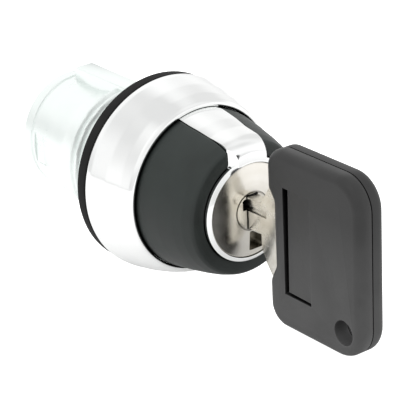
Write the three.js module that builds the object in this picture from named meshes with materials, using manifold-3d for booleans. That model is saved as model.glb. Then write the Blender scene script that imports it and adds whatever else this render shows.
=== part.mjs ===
// Key-operated selector switch head for a 22 mm class panel hole: chromed bezel, black tapered
// knob with a chromed index tab, wafer lock, removable key, and the cam and pushers that work
// the contact block behind the panel.
//
// Millimetres, +Z up, the lock faces -Y, +X is to the right seen from the front. The origin is
// the centre of the flat rear end of the barrel. Pieces are built in a frame whose y = 0 is the
// panel plane; the exported group is moved forward by BARREL_REACH.
import * as THREE from "three";
import { mergeVertices } from "three/addons/utils/BufferGeometryUtils.js";
import Module from "manifold-3d";

// ---- driving dimensions (R radius, Y depth from the panel plane, T thickness) ----
const SEGMENTS = 36; // facets round a turned part
const TURN_DEG = 45; // each way from the middle position
const SWITCH_POSITIONS = [-TURN_DEG, 0, TURN_DEG];

const BARREL_REACH = 22.5; // panel plane to the rear end of the barrel
const BEZEL_REAR_Y = -2.05;
const FLANGE_R = 13.65;
const BORE_REAR_R = 8.45;
const GUIDE_Y = BARREL_REACH - 4.4; // front face of the rear guide

const KNOB_R = 12.0;
const KNOB_REAR_Y = -5.35;
const KNOB_FRONT_Y = -21.3;
const RING_R = 7.86; // chromed ring round the lock face
const RING_BORE_R = 7.2;
const RING_REAR_Y = -13.6;
const RING_FRONT_Y = -22.2;

const LOCK_R = 6.0;
const LOCK_BORE_R = LOCK_R + 0.15; // bore of the parts round the lock cylinder
const LOCK_REAR_Y = 3.55;
const COLLAR_REAR_Y = -4.42; // sleeve collar and knob seal
const BLADE_HALF_T = 0.95;
const BLADE_HALF_H = 2.42;
const KEYWAY_HALF_W = BLADE_HALF_T + 0.15;
const KEYWAY_HALF_H = BLADE_HALF_H + 0.2;
const WAFER_Y = [-9, -7, -5, -3, -1, 1];
const WAFER_HALF_W = 1.8;
const WAFER_HALF_H = 5.6;
const WAFER_HALF_T = 0.38;
const WAFER_THROW = 0.9;

const CAM_MID_Y = 8.5; // rear face of the cam at the height of its axis
const CAM_LUG_HALF_W = 0.7;
const PUSHER_X = 6.1;
const PUSHER_HALF_W = 1;

// Head of the key blade, held in the bow: a block in front of a taller shoulder.
const HEAD_FRONT_Y = -40.0;
const HEAD_Z = [-5.4, 3.4];
const SHOULDER_FRONT_Y = -30.8;
const SHOULDER_Z = [-8.4, 5.4];

// ---- spans: [low, high] pairs along one axis ----
const around = (centre, half) => [centre - half, centre + half];
const centred = (half) => around(0, half);
const widened = ([low, high], gap) => [low - gap, high + gap];
// The span as given on side 1, mirrored through zero on side -1.
const onSide = (side, [low, high]) => (side > 0 ? [low, high] : [-high, -low]);

// ---- solid helpers ----
const wasm = await Module();
wasm.setup();

// A closed geometry as a solid whose faces point outwards.
function solid(geometry) {
  const flat = geometry.index ? geometry.toNonIndexed() : geometry;
  const bare = new THREE.BufferGeometry();
  bare.setAttribute("position", flat.getAttribute("position"));
  const merged = mergeVertices(bare, 1e-4);
  const corners = merged.index.array;
  const triangles = [];
  for (let i = 0; i < corners.length; i += 3) {
    const [a, b, c] = corners.slice(i, i + 3);
    if (a !== b && b !== c && a !== c) triangles.push([a, b, c]);
  }
  const build = (faces) =>
    new wasm.Manifold(
      new wasm.Mesh({
        numProp: 3,
        vertProperties: new Float32Array(merged.attributes.position.array),
        triVerts: new Uint32Array(faces.flat()),
      }),
    );
  const made = build(triangles);
  return made.volume() >= 0 ? made : build(triangles.map(([a, b, c]) => [a, c, b]));
}

// A surface turned about the Y axis; the [radius, y] profile closes on itself or on the axis.
function turned(profile) {
  const points = profile.map(([r, y]) => new THREE.Vector2(r, y));
  if (points[0].x > 0 || points.at(-1).x > 0) points.push(points[0].clone());
  return new THREE.LatheGeometry(points, SEGMENTS);
}
const lathe = (profile) => solid(turned(profile));

// A block from three spans, turned about the Y axis by degrees clockwise seen from the front.
function block([x0, x1], [y0, y1], [z0, z1], degrees = 0) {
  return solid(
    new THREE.BoxGeometry(x1 - x0, y1 - y0, z1 - z0)
      .translate((x0 + x1) / 2, (y0 + y1) / 2, (z0 + z1) / 2)
      .rotateY(THREE.MathUtils.degToRad(degrees)),
  );
}

const outline = (points) => new THREE.Shape(points.map(([u, v]) => new THREE.Vector2(u, v)));

const extrude = (shape, depth, options) =>
  new THREE.ExtrudeGeometry(shape, { depth, steps: 1, bevelEnabled: false, ...options });

// Plates: a flat shape in two axes, given thickness along the third.
const plateXY = (points, [z0, z1]) =>
  solid(extrude(outline(points), z1 - z0).translate(0, 0, z0));

const plateXZ = (points, [y0, y1]) =>
  solid(extrude(outline(points), y1 - y0).rotateX(Math.PI / 2).translate(0, y1, 0));

const YZ_TO_WORLD = new THREE.Matrix4().makeBasis(
  new THREE.Vector3(0, 1, 0),
  new THREE.Vector3(0, 0, 1),
  new THREE.Vector3(1, 0, 0),
);
function plateYZ(shape, [x0, x1], bevel = 0) {
  const geometry = extrude(shape, x1 - x0 - 2 * bevel, {
    bevelEnabled: bevel > 0,
    bevelThickness: bevel,
    bevelSize: bevel,
    bevelOffset: -bevel,
    bevelSegments: 2,
    curveSegments: 5,
  });
  return solid(geometry.translate(0, 0, x0 + bevel).applyMatrix4(YZ_TO_WORLD));
}

// An open ring about the Y axis; degrees run from +X towards +Z.
function openRing({ inner, outer, from, to, steps, ySpan }) {
  const arc = (r) =>
    Array.from({ length: steps + 1 }, (_, i) => {
      const angle = THREE.MathUtils.degToRad(from + ((to - from) * i) / steps);
      return [r * Math.cos(angle), r * Math.sin(angle)];
    });
  return plateXZ([...arc(outer), ...arc(inner).reverse()], ySpan);
}

// A cylinder between two points.
function rod(from, to, r, segments) {
  const start = new THREE.Vector3(...from);
  const end = new THREE.Vector3(...to);
  const turn = new THREE.Quaternion().setFromUnitVectors(
    new THREE.Vector3(0, 1, 0),
    end.clone().sub(start).normalize(),
  );
  const middle = start.clone().add(end).multiplyScalar(0.5);
  return solid(
    new THREE.CylinderGeometry(r, r, start.distanceTo(end), segments)
      .applyQuaternion(turn)
      .translate(middle.x, middle.y, middle.z),
  );
}
// A cylinder on the switch axis.
const axialRod = ([y0, y1], r, segments) => rod([0, y0, 0], [0, y1, 0], r, segments);

// The centre line of a coil that runs along +Y or +Z from start.
class Helix extends THREE.Curve {
  constructor({ start, axis, length, radius, turns }) {
    super();
    Object.assign(this, { start, axis, length, radius, turns });
  }
  getPoint(t, out = new THREE.Vector3()) {
    const [x, y, z] = this.start;
    const angle = 2 * Math.PI * this.turns * t;
    const across = this.radius * Math.cos(angle);
    const aside = this.radius * Math.sin(angle);
    const along = this.length * t;
    return this.axis === "y"
      ? out.set(x + across, y + along, z + aside)
      : out.set(x + across, y + aside, z + along);
  }
}

// A compression spring: a wire of the given radius swept along a helix.
function spring({ wire, sides, stepsPerTurn, ...coil }) {
  const section = Array.from({ length: sides }, (_, i) => {
    const angle = (2 * Math.PI * i) / sides;
    return [wire * Math.cos(angle), wire * Math.sin(angle)];
  });
  return solid(
    new THREE.ExtrudeGeometry(outline(section), {
      steps: coil.turns * stepsPerTurn,
      bevelEnabled: false,
      extrudePath: new Helix(coil),
    }),
  );
}

// ---- fixed body ----
function bezel() {
  const rimR = FLANGE_R + 0.1;
  const openingR = 12.15;
  const seatY = -4.4;
  // [radius, y]
  return lathe([
    [rimR, BEZEL_REAR_Y], [14.65, BEZEL_REAR_Y],
    [14.85, -2.5], [14.82, -3.4], [14.26, -6.5], [13.66, -9.0], [13.2, -10.4],
    [12.82, -10.95], [12.5, -11.1], [12.22, -11.0],
    [openingR, -10.7], [openingR, seatY], [rimR, seatY],
  ]);
}

// Threaded neck as [radius, y]: root, two crest points and root again for each pitch.
function threadProfile() {
  const pitch = 1.5;
  const crests = 5;
  const startY = 0.2;
  const crestR = 11.0;
  const rootR = 10.15;
  const profile = [[rootR, BEZEL_REAR_Y], [rootR, startY]];
  for (let i = 0; i < crests; i++) {
    const y = startY + i * pitch;
    profile.push([crestR, y + 0.42 * pitch], [crestR, y + 0.54 * pitch]);
    profile.push([rootR, y + 0.96 * pitch]);
  }
  profile.push([rootR, 8.6]);
  return profile;
}

// Barrel: flange under the bezel, threaded neck, plain tail with the anti-rotation rib.
function barrelHousing() {
  const flangeY = -4.3;
  const frontBoreR = 8.8;
  const camBoreR = 9.0; // round the stop ring
  const neckBoreR = 7.0;
  const tailR = 9.5;
  const tailEndR = 9.15;
  const grooveR = 8.85; // snap ring groove
  const grooveY = [BARREL_REACH - 1.25, BARREL_REACH - 0.35];
  // [radius, y]: outside from front to rear, then the bore from rear to front
  const body = lathe([
    [frontBoreR, flangeY], [FLANGE_R, flangeY], [FLANGE_R, BEZEL_REAR_Y],
    ...threadProfile(),
    [tailR, 11.6], [tailR, 13.0],
    [tailEndR + 0.05, 19.7], [tailEndR - 0.2, 19.75], [tailEndR - 0.2, 20.35], [tailEndR, 20.4],
    [tailEndR, BARREL_REACH - 0.3], [tailEndR - 0.25, BARREL_REACH],
    [BORE_REAR_R, BARREL_REACH], [BORE_REAR_R, grooveY[1]],
    [grooveR, grooveY[1]], [grooveR, grooveY[0]], [BORE_REAR_R, grooveY[0]],
    [BORE_REAR_R, 7.4], [camBoreR, 6.9], [camBoreR, 4.4],
    [neckBoreR, 4.4], [neckBoreR, 3.7], [frontBoreR, 3.7],
  ]);
  // The rib stands on top and its foot sinks into the barrel wall.
  const rib = block(centred(1.6), [BEZEL_REAR_Y + 0.05, 18.0], [9.05, 11.4]);
  // A shallow notch in each side of the tail.
  const notch = (side) => block(onSide(side, [8.85, 12]), [16.6, 19.2], centred(2.4));
  return body.add(rib).subtract(notch(-1)).subtract(notch(1));
}

// Gasket in front of the panel, notched at the top for the rib.
function panelGasket() {
  const innerR = 11.25;
  const outerR = 14.7;
  const frontY = -2.0;
  return lathe([
    [innerR, frontY], [outerR - 0.15, frontY], [outerR, frontY + 0.25],
    [outerR, -0.3], [outerR - 0.2, 0], [innerR, 0],
  ]).subtract(block(centred(2.1), [-3, 0.5], [9, 12.0]));
}

function knobSeal() {
  const innerR = 9.7;
  const frontY = -5.15;
  return lathe([
    [innerR, frontY], [11.9, frontY], [11.95, -4.75],
    [11.9, COLLAR_REAR_Y], [innerR, COLLAR_REAR_Y],
  ]);
}

// Wafers alternate: even ones work upwards, odd ones downwards.
const waferSide = (i) => (i % 2 ? -1 : 1);

// Sleeve round the lock: its inner grooves catch the wafers in the three key-out positions.
function lockSleeve() {
  const outerR = 8.65;
  const collarR = 9.45;
  const frontY = -11.8;
  const collarFrontY = -5.1;
  const grooveHalfW = WAFER_HALF_W + 0.15;
  const grooveHalfT = 0.55;
  const grooveZ = [4, WAFER_HALF_H + WAFER_THROW + 0.45];
  let sleeve = lathe([
    [LOCK_BORE_R, frontY], [outerR, frontY], [outerR, collarFrontY], [collarR, collarFrontY],
    [collarR, COLLAR_REAR_Y], [outerR, COLLAR_REAR_Y],
    [outerR, LOCK_REAR_Y], [LOCK_BORE_R, LOCK_REAR_Y],
  ]);
  WAFER_Y.forEach((y, i) => {
    const zSpan = onSide(waferSide(i), grooveZ);
    for (const degrees of SWITCH_POSITIONS) {
      const groove = block(centred(grooveHalfW), around(y, grooveHalfT), zSpan, degrees);
      sleeve = sleeve.subtract(groove);
    }
  });
  return sleeve;
}

// Leaf ring, open at the top, whose nib at the bottom clicks into the notches of the knob.
function detentSpring() {
  const nibZ = -9.25;
  const leaf = openRing({
    inner: 8.8, outer: 9.15, from: 112, to: 428, steps: 32, ySpan: [-9.2, -6.4],
  });
  return leaf.add(rod([0, -9.0, nibZ], [0, -6.6, nibZ], 0.5, 12));
}

// End stop ring: its gap lets the cam lug swing TURN_DEG each way and no further.
function stopRing() {
  const lugHalfDeg = THREE.MathUtils.radToDeg(Math.asin(CAM_LUG_HALF_W / 7.75));
  const clearanceDeg = 0.7;
  return openRing({
    inner: 7.78,
    outer: 8.82,
    from: 90 + TURN_DEG + lugHalfDeg + clearanceDeg,
    to: 450 - TURN_DEG - lugHalfDeg - clearanceDeg,
    steps: 28,
    ySpan: [4.6, 6.3],
  });
}

// Rear guide plate with a slot for each pusher.
function rearGuide() {
  const outerR = BORE_REAR_R - 0.12;
  const hubR = 7.6;
  const shoulderY = BARREL_REACH - 1.3;
  const slotX = around(PUSHER_X, PUSHER_HALF_W + 0.15);
  const slotY = [GUIDE_Y - 1, BARREL_REACH + 1];
  const slot = (side) => block(onSide(side, slotX), slotY, centred(1.16));
  return lathe([
    [0, GUIDE_Y], [outerR, GUIDE_Y], [outerR, shoulderY],
    [hubR, shoulderY], [hubR, BARREL_REACH], [0, BARREL_REACH],
  ])
    .subtract(slot(1))
    .subtract(slot(-1));
}

// Snap ring, open at the top, that holds the rear guide.
const rearSnapRing = () =>
  openRing({
    inner: 7.75,
    outer: 8.72,
    from: 105,
    to: 435,
    steps: 32,
    ySpan: [BARREL_REACH - 1.12, BARREL_REACH - 0.48],
  });

// ---- turning body ----
// Tapered outside shared by the knob and the index tab, [radius, y] from rear to front.
const KNOB_TAPER = [[11.9, -12.0], [11.45, -15.0], [10.9, -17.8], [10.55, -19.2]];

// A wedge that narrows from the bezel to the nose, seen from above, widened by gap on each side.
function tabWedge(gap, rearY, zSpan) {
  const halfW = 3.55 + gap;
  const noseHalfW = 3.1 + gap;
  const frontY = -23;
  // [x, y]
  return plateXY(
    [
      [-noseHalfW, frontY], [noseHalfW, frontY], [noseHalfW, -19], [halfW, -12.5],
      [halfW, rearY], [-halfW, rearY], [-halfW, -12.5], [-noseHalfW, -19],
    ],
    zSpan,
  );
}

// Knob: parallel skirt inside the bezel, taper, rounded nose, slot for the index tab.
function knobShell() {
  const hubBoreR = RING_R + 0.14;
  // [radius, y]: outside from rear to front, then the inside back to the rear
  let knob = lathe([
    [11.95, KNOB_REAR_Y], [KNOB_R, -10.6],
    ...KNOB_TAPER,
    [10.2, -20.3], [9.75, -20.95], [9.2, KNOB_FRONT_Y],
    [hubBoreR, KNOB_FRONT_Y], [hubBoreR, RING_REAR_Y], [9.0, RING_REAR_Y],
    [9.0, -18.9], [9.35, -18.9], [10.15, -12.5], [10.2, KNOB_REAR_Y],
  ]).subtract(tabWedge(0.2, -9.0, [5, 14]));
  // Detent notches inside the skirt, the middle one at the bottom.
  const notchCircleR = 10.25;
  for (const degrees of SWITCH_POSITIONS) {
    const angle = THREE.MathUtils.degToRad(-90 + degrees);
    const x = notchCircleR * Math.cos(angle);
    const z = notchCircleR * Math.sin(angle);
    knob = knob.subtract(rod([x, -9.9, z], [x, -5.0, z], 0.7, 10));
  }
  return knob;
}

// Index tab along the top of the knob, hollowed underneath.
function indexTab() {
  const boreR = RING_BORE_R + 0.02;
  const envelope = lathe([
    [0, -9.2], [11.98, -9.2], [KNOB_R, -10.6],
    ...KNOB_TAPER.map(([r, y]) => [r + 0.02, y]),
    [10.3, -19.95], [9.75, -20.85], [8.9, -21.55], [8.0, RING_FRONT_Y], [0, RING_FRONT_Y],
  ]);
  const inside = lathe([[0, -23], [boreR, -23], [boreR, -13.4], [10.0, -13.4], [10.0, -8], [0, -8]]);
  return envelope
    .intersect(tabWedge(0, -8, [6.4, 14]))
    .subtract(inside)
    .subtract(block(centred(2.4), [-17.6, -8], [8.8, 10.3]));
}

// Ring round the lock, in one piece with the index tab.
const indexSleeve = () =>
  lathe([
    [RING_BORE_R, RING_REAR_Y], [RING_BORE_R, -22.1], [RING_BORE_R + 0.06, RING_FRONT_Y],
    [RING_R - 0.2, RING_FRONT_Y], [RING_R, -22.0], [RING_R, RING_REAR_Y],
  ]).add(indexTab());

// Lock cylinder: front disc, body with keyway and wafer slots, tang that drives the cam.
function lockCylinder() {
  const faceR = 7.1;
  const faceY = -22.3;
  const discRearY = -13.0;
  const cutFrontY = -23; // clear of the face
  const tang = block(centred(2.0), [3.0, 8.4], centred(3.8));
  const keyway = block(centred(KEYWAY_HALF_W), [cutFrontY, 2.4], centred(KEYWAY_HALF_H));
  // Clearance at the left of the keyway mouth.
  const mouth = block([-1.75, 0], [cutFrontY, -15.5], [0.35, 2.1]);
  // Blind recess in the face below the keyway.
  const recess = block([-0.6, 2.2], [cutFrontY, -18.0], [-6.2, -3.1]);
  const screwHole = axialRod([4.4, 9.0], 1.1, 12);
  let lock = lathe([
    [0, faceY - 0.13], [2.8, faceY - 0.05], [5.0, faceY + 0.1], [6.6, faceY + 0.27],
    [faceR, -21.8], [faceR, discRearY],
    [LOCK_R, discRearY], [LOCK_R, LOCK_REAR_Y], [0, LOCK_REAR_Y],
  ])
    .add(tang)
    .subtract(keyway)
    .subtract(mouth)
    .subtract(recess)
    .subtract(screwHole);
  // A slot through the body for each wafer, and a pocket at its right for the spring.
  WAFER_Y.forEach((y, i) => {
    const ySpan = around(y, 0.5);
    lock = lock
      .subtract(block(centred(WAFER_HALF_W + 0.12), ySpan, centred(7)))
      .subtract(block([WAFER_HALF_W, 3.25], ySpan, onSide(waferSide(i), [-2.3, 7])));
  });
  return lock;
}

// Ring nut behind the front disc of the lock, notched at the top and bottom.
function lockNut() {
  const outerR = 9.2;
  const frontY = -12.9;
  const rearY = -12.1;
  const notch = (side) => block(centred(0.9), [-13.5, -11.5], onSide(side, [8.3, 10]));
  return lathe([[LOCK_BORE_R, frontY], [outerR, frontY], [outerR, rearY], [LOCK_BORE_R, rearY]])
    .subtract(notch(1))
    .subtract(notch(-1));
}

// Cam blank: its rear face slopes from furthest back at the top to furthest forward at the
// bottom, the same on the left and right, with a flat at either end.
function camBlank() {
  const outerR = 7.6;
  const faceInnerR = 4.8;
  const hubR = 3.3;
  const rise = 2.0; // pusher stroke for one TURN_DEG step
  const slopeEndDeg = 60;
  const rearMark = 1000; // y of the profile points to be moved onto the slope
  const geometry = turned([
    [0, 4.7], [outerR, 4.7], [outerR, rearMark], [faceInnerR, rearMark],
    [faceInnerR, 9.4], [hubR, 9.4], [hubR, 12.2], [0, 12.2],
  ]);
  const position = geometry.getAttribute("position");
  for (let i = 0; i < position.count; i++) {
    if (position.getY(i) !== rearMark) continue;
    let degrees = THREE.MathUtils.radToDeg(Math.atan2(position.getZ(i), position.getX(i)));
    // Fold the left half onto the right.
    if (degrees > 90) degrees = 180 - degrees;
    else if (degrees < -90) degrees = -180 - degrees;
    const swing = THREE.MathUtils.clamp(degrees, -slopeEndDeg, slopeEndDeg);
    position.setY(i, CAM_MID_Y + (rise * swing) / TURN_DEG);
  }
  return solid(geometry);
}

// Face cam with its stop lug at the top, a slot for the tang and a counterbored screw hole.
const driveCam = () =>
  camBlank()
    .add(block(centred(CAM_LUG_HALF_W), [4.75, 6.15], [6.5, 8.7]))
    .subtract(block(centred(2.1), [4, 8.6], centred(3.95)))
    .subtract(axialRod([8, 13], 1.25, 12))
    .subtract(axialRod([10.2, 13], 2.6, 16));

function camScrew() {
  const shank = axialRod([4.8, 10.35], 0.95, 12);
  const head = axialRod([10.3, 11.9], 2.3, 16);
  const driverSlot = block(centred(0.3), [11.2, 12.5], centred(3));
  return shank.add(head).subtract(driverSlot);
}

// ---- wafers ----
// A plate with a window for the blade and a lug at the right that bears on the spring.
function wafer(y, side) {
  const ySpan = around(y, WAFER_HALF_T);
  return block(centred(WAFER_HALF_W), ySpan, centred(WAFER_HALF_H))
    .add(block([1.5, 2.95], ySpan, onSide(side, [1.6, 2.5])))
    .subtract(block(centred(1.2), around(y, 1), onSide(side, [-3.5, KEYWAY_HALF_H])));
}

const waferSpring = (y, side) =>
  spring({
    start: [2.52, y, side > 0 ? -2.1 : -1.45],
    axis: "z",
    length: 3.55,
    radius: 0.26,
    wire: 0.07,
    turns: 4,
    stepsPerTurn: 6,
    sides: 4,
  });

// ---- pushers that work the contact block ----
// A bar with a blunt wedge tip on the cam and a flange that carries the return spring.
function pusher(side) {
  const tipY = CAM_MID_Y + 0.3;
  const rearY = BARREL_REACH - 1.4;
  // [y, z]
  const bar = outline([
    [tipY, -0.35], [tipY + 1.0, -1.0], [rearY, -1.0],
    [rearY, 1.0], [tipY + 1.0, 1.0], [tipY, 0.35],
  ]);
  return plateYZ(bar, onSide(side, around(PUSHER_X, PUSHER_HALF_W))).add(
    block(onSide(side, [5.0, 7.9]), [10.9, 11.5], centred(1.8)),
  );
}

const pusherSpring = (side) =>
  spring({
    start: [side * PUSHER_X, 11.75, 0],
    axis: "y",
    length: GUIDE_Y - 12.05,
    radius: 1.8,
    wire: 0.2,
    turns: 5.5,
    stepsPerTurn: 10,
    sides: 5,
  });

// ---- key ----
// [y, z]: lower bitting from tip to head, round the head, upper bitting back to the tip
const BLADE_OUTLINE = [
  [2.1, -0.9], [0.9, -2.0], [-0.4, -1.5], [-1.6, -2.2], [-3.0, -1.3], [-4.4, -2.3],
  [-5.8, -1.7], [-7.2, -2.42], [-8.8, -1.5], [-10.2, -BLADE_HALF_H], [-25.3, -BLADE_HALF_H],
  [-25.4, -4.6], [-26.2, -6.3], [-27.8, SHOULDER_Z[0]], [SHOULDER_FRONT_Y, SHOULDER_Z[0]],
  [SHOULDER_FRONT_Y, HEAD_Z[0]], [HEAD_FRONT_Y, HEAD_Z[0]],
  [HEAD_FRONT_Y, HEAD_Z[1]], [SHOULDER_FRONT_Y, HEAD_Z[1]],
  [SHOULDER_FRONT_Y, SHOULDER_Z[1]], [-27.4, SHOULDER_Z[1]], [-25.9, 3.3],
  [-25.3, BLADE_HALF_H], [-10.2, BLADE_HALF_H], [-8.8, 1.7], [-7.4, 2.3], [-6.0, 1.4],
  [-4.6, 2.2], [-3.2, 1.6], [-1.8, 2.3], [-0.4, 1.6], [0.9, 2.0], [2.1, 0.9],
];

// Blade with a long groove high on the left face and low on the right, and a hole in the head.
function keyBlade() {
  const groove = (side) =>
    block(onSide(side, [0.45, 2]), [-26.5, 3], onSide(-side, [0.35, 1.15]));
  return plateYZ(outline(BLADE_OUTLINE), centred(BLADE_HALF_T))
    .subtract(groove(-1))
    .subtract(groove(1))
    .subtract(rod([-2, -34, -1], [2, -34, -1], 1.3, 12));
}

// Outline of the bow in Y and Z: rounded corners, shallow relief on the lock side.
function bowShape() {
  const rear = -28.3;
  const front = -47.6;
  const foot = -14.35;
  const top = 12.3;
  const relief = 1.2;
  const corner = 4.8;
  const pull = 0.4; // inset of a corner's control point
  const shape = new THREE.Shape();
  shape.moveTo(front + corner, foot);
  shape.lineTo(rear - corner, foot);
  shape.quadraticCurveTo(rear - pull, foot + pull, rear, foot + corner);
  shape.lineTo(rear, -7.6);
  shape.lineTo(rear - relief, -5.5);
  shape.lineTo(rear - relief, 4.5);
  shape.lineTo(rear, 6.2);
  shape.lineTo(rear, top - corner);
  shape.quadraticCurveTo(rear - pull, top - pull, rear - corner, top);
  shape.lineTo(front + corner, top);
  shape.quadraticCurveTo(front + pull, top - pull, front, top - corner);
  shape.lineTo(front, foot + corner);
  shape.quadraticCurveTo(front + pull, foot + pull, front + corner, foot);
  return shape;
}

// One half of the bow, with a pocket for the blade head and a shallow panel in its outer face;
// a deep groove follows the lock side and the foot of the panel.
function keyBowHalf(side) {
  const halfT = 2.4;
  const pocketGap = 0.3;
  const pocketX = centred(BLADE_HALF_T + 0.15);
  const pocket = (frontY, zSpan) =>
    block(pocketX, [frontY - pocketGap, -26], widened(zSpan, pocketGap));
  const panelY = [-37.6, -32.0];
  const panelZ = [-8.8, 7.3];
  const sunk = (depth, ySpan, zSpan) => block(onSide(side, [halfT - depth, 4]), ySpan, zSpan);
  return plateYZ(bowShape(), centred(halfT), 0.8)
    .subtract(rod([-4, -44.2, -10.3], [4, -44.2, -10.3], 1.85, 20))
    .subtract(pocket(HEAD_FRONT_Y, HEAD_Z))
    .subtract(pocket(SHOULDER_FRONT_Y, SHOULDER_Z))
    .intersect(block(onSide(side, [0.05, 4]), [-50, -26], [-16, 14]))
    .subtract(sunk(0.25, panelY, panelZ))
    .subtract(sunk(1.05, [-32.9, panelY[1]], panelZ))
    .subtract(sunk(1.05, panelY, [panelZ[0], -8.3]));
}

// ---- materials ----
const look = (color, { roughness, metalness }) =>
  new THREE.MeshStandardMaterial({ color, roughness, metalness });
const looks = {
  chrome: look(0xe6e8e6, { roughness: 0.12, metalness: 1 }),
  diecast: look(0xd9dcd8, { roughness: 0.4, metalness: 0.9 }),
  nickel: look(0xc9c4b4, { roughness: 0.28, metalness: 1 }),
  steel: look(0xb4b6b8, { roughness: 0.35, metalness: 1 }),
  brass: look(0xc7a252, { roughness: 0.35, metalness: 1 }),
  knob: look(0x2f3230, { roughness: 0.55, metalness: 0 }),
  bow: look(0x38393a, { roughness: 0.5, metalness: 0 }),
  rubber: look(0x161616, { roughness: 0.85, metalness: 0 }),
  nylon: look(0xe4e2da, { roughness: 0.5, metalness: 0 }),
};

// ---- assembly ----
const part = new THREE.Group();
part.name = "selector_key_switch";
part.position.y = -BARREL_REACH;

function add(name, body, material) {
  const { vertProperties, triVerts } = body.getMesh();
  const geometry = new THREE.BufferGeometry();
  const position = new THREE.BufferAttribute(new Float32Array(vertProperties), 3);
  geometry.setAttribute("position", position);
  geometry.setIndex(new THREE.BufferAttribute(new Uint32Array(triVerts), 1));
  geometry.computeVertexNormals();
  const mesh = new THREE.Mesh(geometry, material);
  mesh.name = name;
  part.add(mesh);
}

add("bezel", bezel(), looks.chrome);
add("barrel_housing", barrelHousing(), looks.diecast);
add("panel_gasket", panelGasket(), looks.rubber);
add("knob_seal", knobSeal(), looks.rubber);
add("lock_sleeve", lockSleeve(), looks.brass);
add("detent_spring", detentSpring(), looks.steel);
add("stop_ring", stopRing(), looks.steel);
add("rear_guide", rearGuide(), looks.nylon);
add("rear_snap_ring", rearSnapRing(), looks.steel);
add("knob_shell", knobShell(), looks.knob);
add("index_sleeve", indexSleeve(), looks.chrome);
add("lock_cylinder", lockCylinder(), looks.nickel);
add("lock_nut", lockNut(), looks.steel);
add("drive_cam", driveCam(), looks.nylon);
add("cam_screw", camScrew(), looks.steel);
WAFER_Y.forEach((y, i) => {
  add(`wafer_${i + 1}`, wafer(y, waferSide(i)), looks.brass);
  add(`wafer_spring_${i + 1}`, waferSpring(y, waferSide(i)), looks.steel);
});
for (const [name, side] of [["left", -1], ["right", 1]]) {
  add(`pusher_${name}`, pusher(side), looks.nylon);
  add(`pusher_spring_${name}`, pusherSpring(side), looks.steel);
}
add("key_blade", keyBlade(), looks.nickel);
add("key_bow_left", keyBowHalf(-1), looks.bow);
add("key_bow_right", keyBowHalf(1), looks.bow);

export default part;
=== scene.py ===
"""Looks of the key-operated selector switch head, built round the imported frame.

The head turns about the Y axis: the key and knob stand at the front (-Y), the barrel runs
to the rear (+Y) and +Z is up. Design lengths are in mm from the panel plane, which is the
rear face of the gasket; mesh data and material distances are in metres.
"""
import math

import bmesh
import bpy
from mathutils import Matrix, Vector


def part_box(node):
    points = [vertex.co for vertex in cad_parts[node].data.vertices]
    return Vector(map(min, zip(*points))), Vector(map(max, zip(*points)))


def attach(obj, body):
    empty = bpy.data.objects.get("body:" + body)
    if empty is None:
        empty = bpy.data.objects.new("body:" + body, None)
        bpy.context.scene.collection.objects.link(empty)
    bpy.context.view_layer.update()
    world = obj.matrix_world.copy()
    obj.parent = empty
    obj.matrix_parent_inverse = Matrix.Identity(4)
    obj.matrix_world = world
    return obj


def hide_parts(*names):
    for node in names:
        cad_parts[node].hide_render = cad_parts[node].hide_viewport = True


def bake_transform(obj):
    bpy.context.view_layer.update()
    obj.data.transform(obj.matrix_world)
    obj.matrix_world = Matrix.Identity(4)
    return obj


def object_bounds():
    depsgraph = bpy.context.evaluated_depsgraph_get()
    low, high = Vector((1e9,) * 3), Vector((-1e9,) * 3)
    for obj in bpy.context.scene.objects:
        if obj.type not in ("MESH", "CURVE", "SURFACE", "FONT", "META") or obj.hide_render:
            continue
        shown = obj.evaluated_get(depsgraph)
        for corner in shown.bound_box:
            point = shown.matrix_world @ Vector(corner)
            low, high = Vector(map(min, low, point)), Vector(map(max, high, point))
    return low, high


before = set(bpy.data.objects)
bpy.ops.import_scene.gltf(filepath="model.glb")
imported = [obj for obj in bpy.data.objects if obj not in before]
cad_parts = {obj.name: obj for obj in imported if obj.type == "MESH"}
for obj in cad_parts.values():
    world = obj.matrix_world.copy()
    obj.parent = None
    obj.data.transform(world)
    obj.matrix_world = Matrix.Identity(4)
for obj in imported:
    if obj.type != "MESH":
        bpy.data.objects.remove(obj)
CAD_LO, CAD_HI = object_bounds()

MM = 0.001
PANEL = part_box("panel_gasket")[1].y * 1000.0
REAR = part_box("rear_guide")[1].y * 1000.0 - PANEL  # rear end of the barrel
SIDES = (("left", -1), ("right", 1))  # name and sign of X

# Pusher stems, and the slots in the rear guide that they slide in
STEM_INNER, STEM_OUTER, STEM_HALF_HEIGHT = 5.1, 7.1, 1.0
STEM_PLAY = 0.15


# ------------------------------------------------------------------ mesh helpers
def shade(piece, angle=35.0):
    """Smooth shading, with edges sharper than the angle kept crisp."""
    piece.data.shade_smooth()
    piece.data.set_sharp_from_angle(angle=math.radians(angle))


def mesh_object(name, verts, faces, smooth=35.0):
    """An object from design coordinates, with its doubles merged and normals outwards."""
    mesh = bpy.data.meshes.new(name)
    mesh.from_pydata([(x * MM, (y + PANEL) * MM, z * MM) for x, y, z in verts], [], faces)
    bm = bmesh.new()
    bm.from_mesh(mesh)
    bmesh.ops.remove_doubles(bm, verts=bm.verts, dist=2e-7)
    bmesh.ops.recalc_face_normals(bm, faces=bm.faces)
    bm.to_mesh(mesh)
    bm.free()
    piece = bpy.data.objects.new(name, mesh)
    bpy.context.scene.collection.objects.link(piece)
    shade(piece, smooth)
    return piece


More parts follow.
